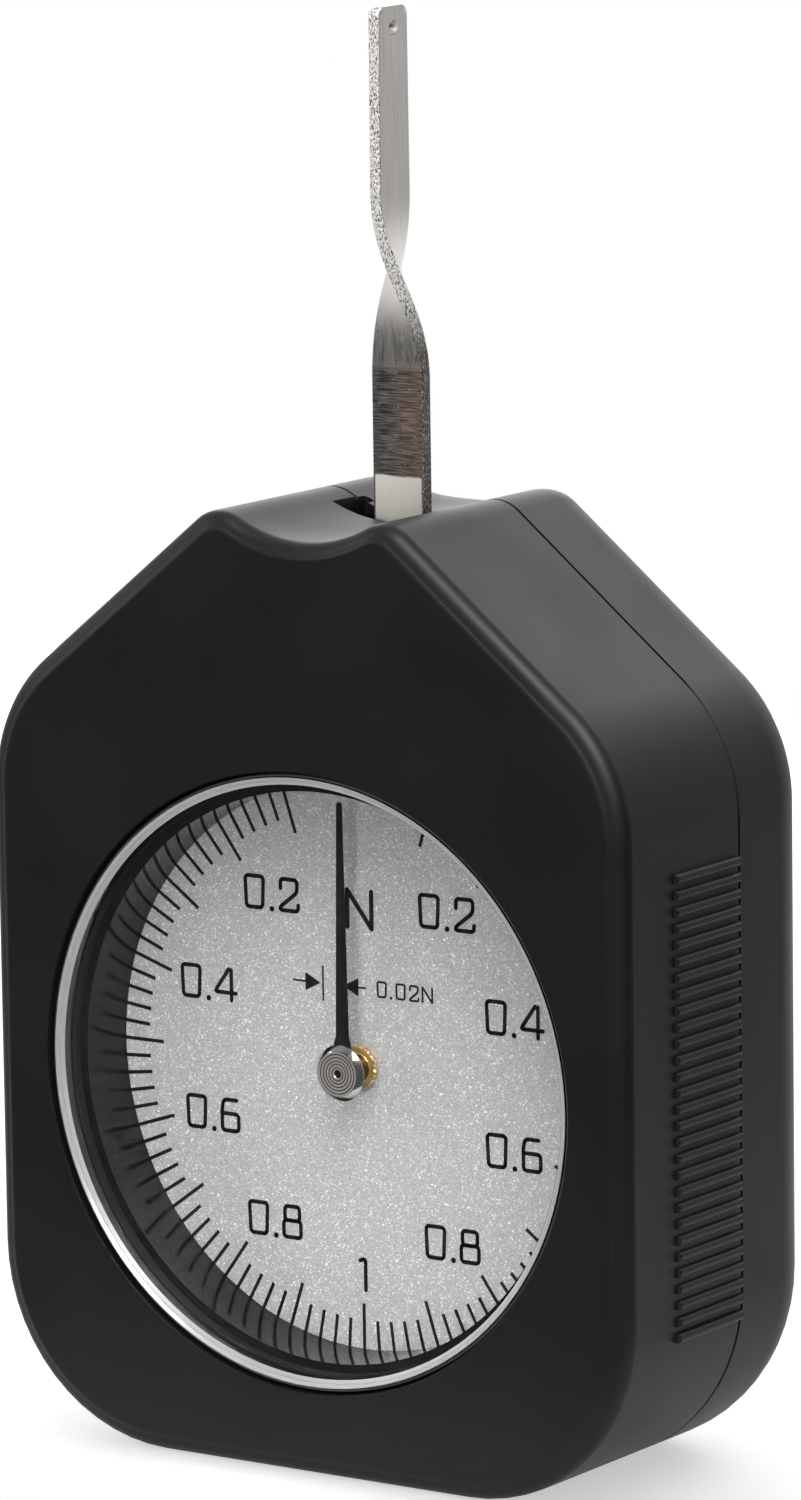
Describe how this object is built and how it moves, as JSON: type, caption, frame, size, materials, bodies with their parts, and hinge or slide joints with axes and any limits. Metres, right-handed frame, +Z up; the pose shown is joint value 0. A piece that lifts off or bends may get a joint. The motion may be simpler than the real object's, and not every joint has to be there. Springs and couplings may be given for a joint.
{
  "type": "dial tension gauge",
  "caption": "Hand-held dial tension gauge: a black case with a round two-way force dial and a twisted flat feeler arm that rocks sideways out of its top.",
  "frame": {"origin": "middle of the flat foot under the case, at the middle of the case's width and depth", "axes": "+Z up through the dial and the feeler arm, -Y out of the dial face, +X to the right when the dial is read"},
  "size_m": [0.0628, 0.03, 0.1186],
  "materials": {
    "case_plastic": "fine satin grain",
    "inner_black": "gloss",
    "seal_rubber": "matte",
    "clear_crystal": "polished clear plastic",
    "dial_silver": "metallic silver paint",
    "pointer_black": "satin black paint",
    "nickel": "nickel plated, brushed",
    "steel": "machined",
    "spring_steel": "drawn wire",
    "brass": "machined"
  },
  "bodies": {
    "case": {"front_shell": "case_plastic", "rear_shell": "case_plastic", "case_screw_lower_left": "steel", "case_screw_lower_right": "steel", "case_screw_upper_left": "steel", "case_screw_upper_right": "steel", "window_crystal": "clear_crystal", "window_gasket": "seal_rubber", "dial_spacer_ring": "inner_black", "dial_plate": "dial_silver", "movement_plate_front": "brass", "movement_plate_rear": "brass", "pillar_lower_left": "brass", "pillar_lower_right": "brass", "pillar_upper_left": "brass", "pillar_upper_right": "brass", "pillar_screw_lower_left": "steel", "pillar_screw_lower_right": "steel", "pillar_screw_upper_left": "steel", "pillar_screw_upper_right": "steel", "movement_screw_lower_left": "steel", "movement_screw_lower_right": "steel", "movement_screw_upper_left": "steel", "movement_screw_upper_right": "steel", "arbor_bush_front": "brass", "arbor_bush_rear": "brass", "pivot_bush_front": "brass", "pivot_bush_rear": "brass", "stop_pin_left": "steel", "stop_pin_right": "steel", "pivot_shaft": "steel", "spring_post": "steel", "measuring_spring": "spring_steel", "hairspring": "spring_steel", "hairspring_stud": "brass"},
    "lever": {"sector_lever": "brass", "feeler_arm": "nickel", "arm_screw_lower": "steel", "arm_screw_upper": "steel", "lever_hub": "brass", "spring_pin": "steel"},
    "pointer_set": {"pointer_arbor": "steel", "pinion": "brass", "pointer_collet": "brass", "pointer": "pointer_black", "pointer_cap": "nickel", "hairspring_collet": "brass"}
  },
  "joints": [
    {"name": "lever_swing", "type": "hinge", "parent": "case", "child": "lever", "pos_m": [0, 0, 0.0645], "axis": [0, 1, 0], "range_deg": [-12, 12], "stiffness_Nm_per_rad": 0.25, "deforming": ["measuring_spring"]},
    {"name": "pointer_spin", "type": "hinge", "parent": "case", "child": "pointer_set", "pos_m": [0, 0, 0.0325], "axis": [0, 1, 0], "range_deg": [-180, 180], "deforming": ["hairspring"]}
  ],
  "couplings": [
    {"joint": "pointer_spin", "follows": "lever_swing", "ratio": -15}
  ]
}
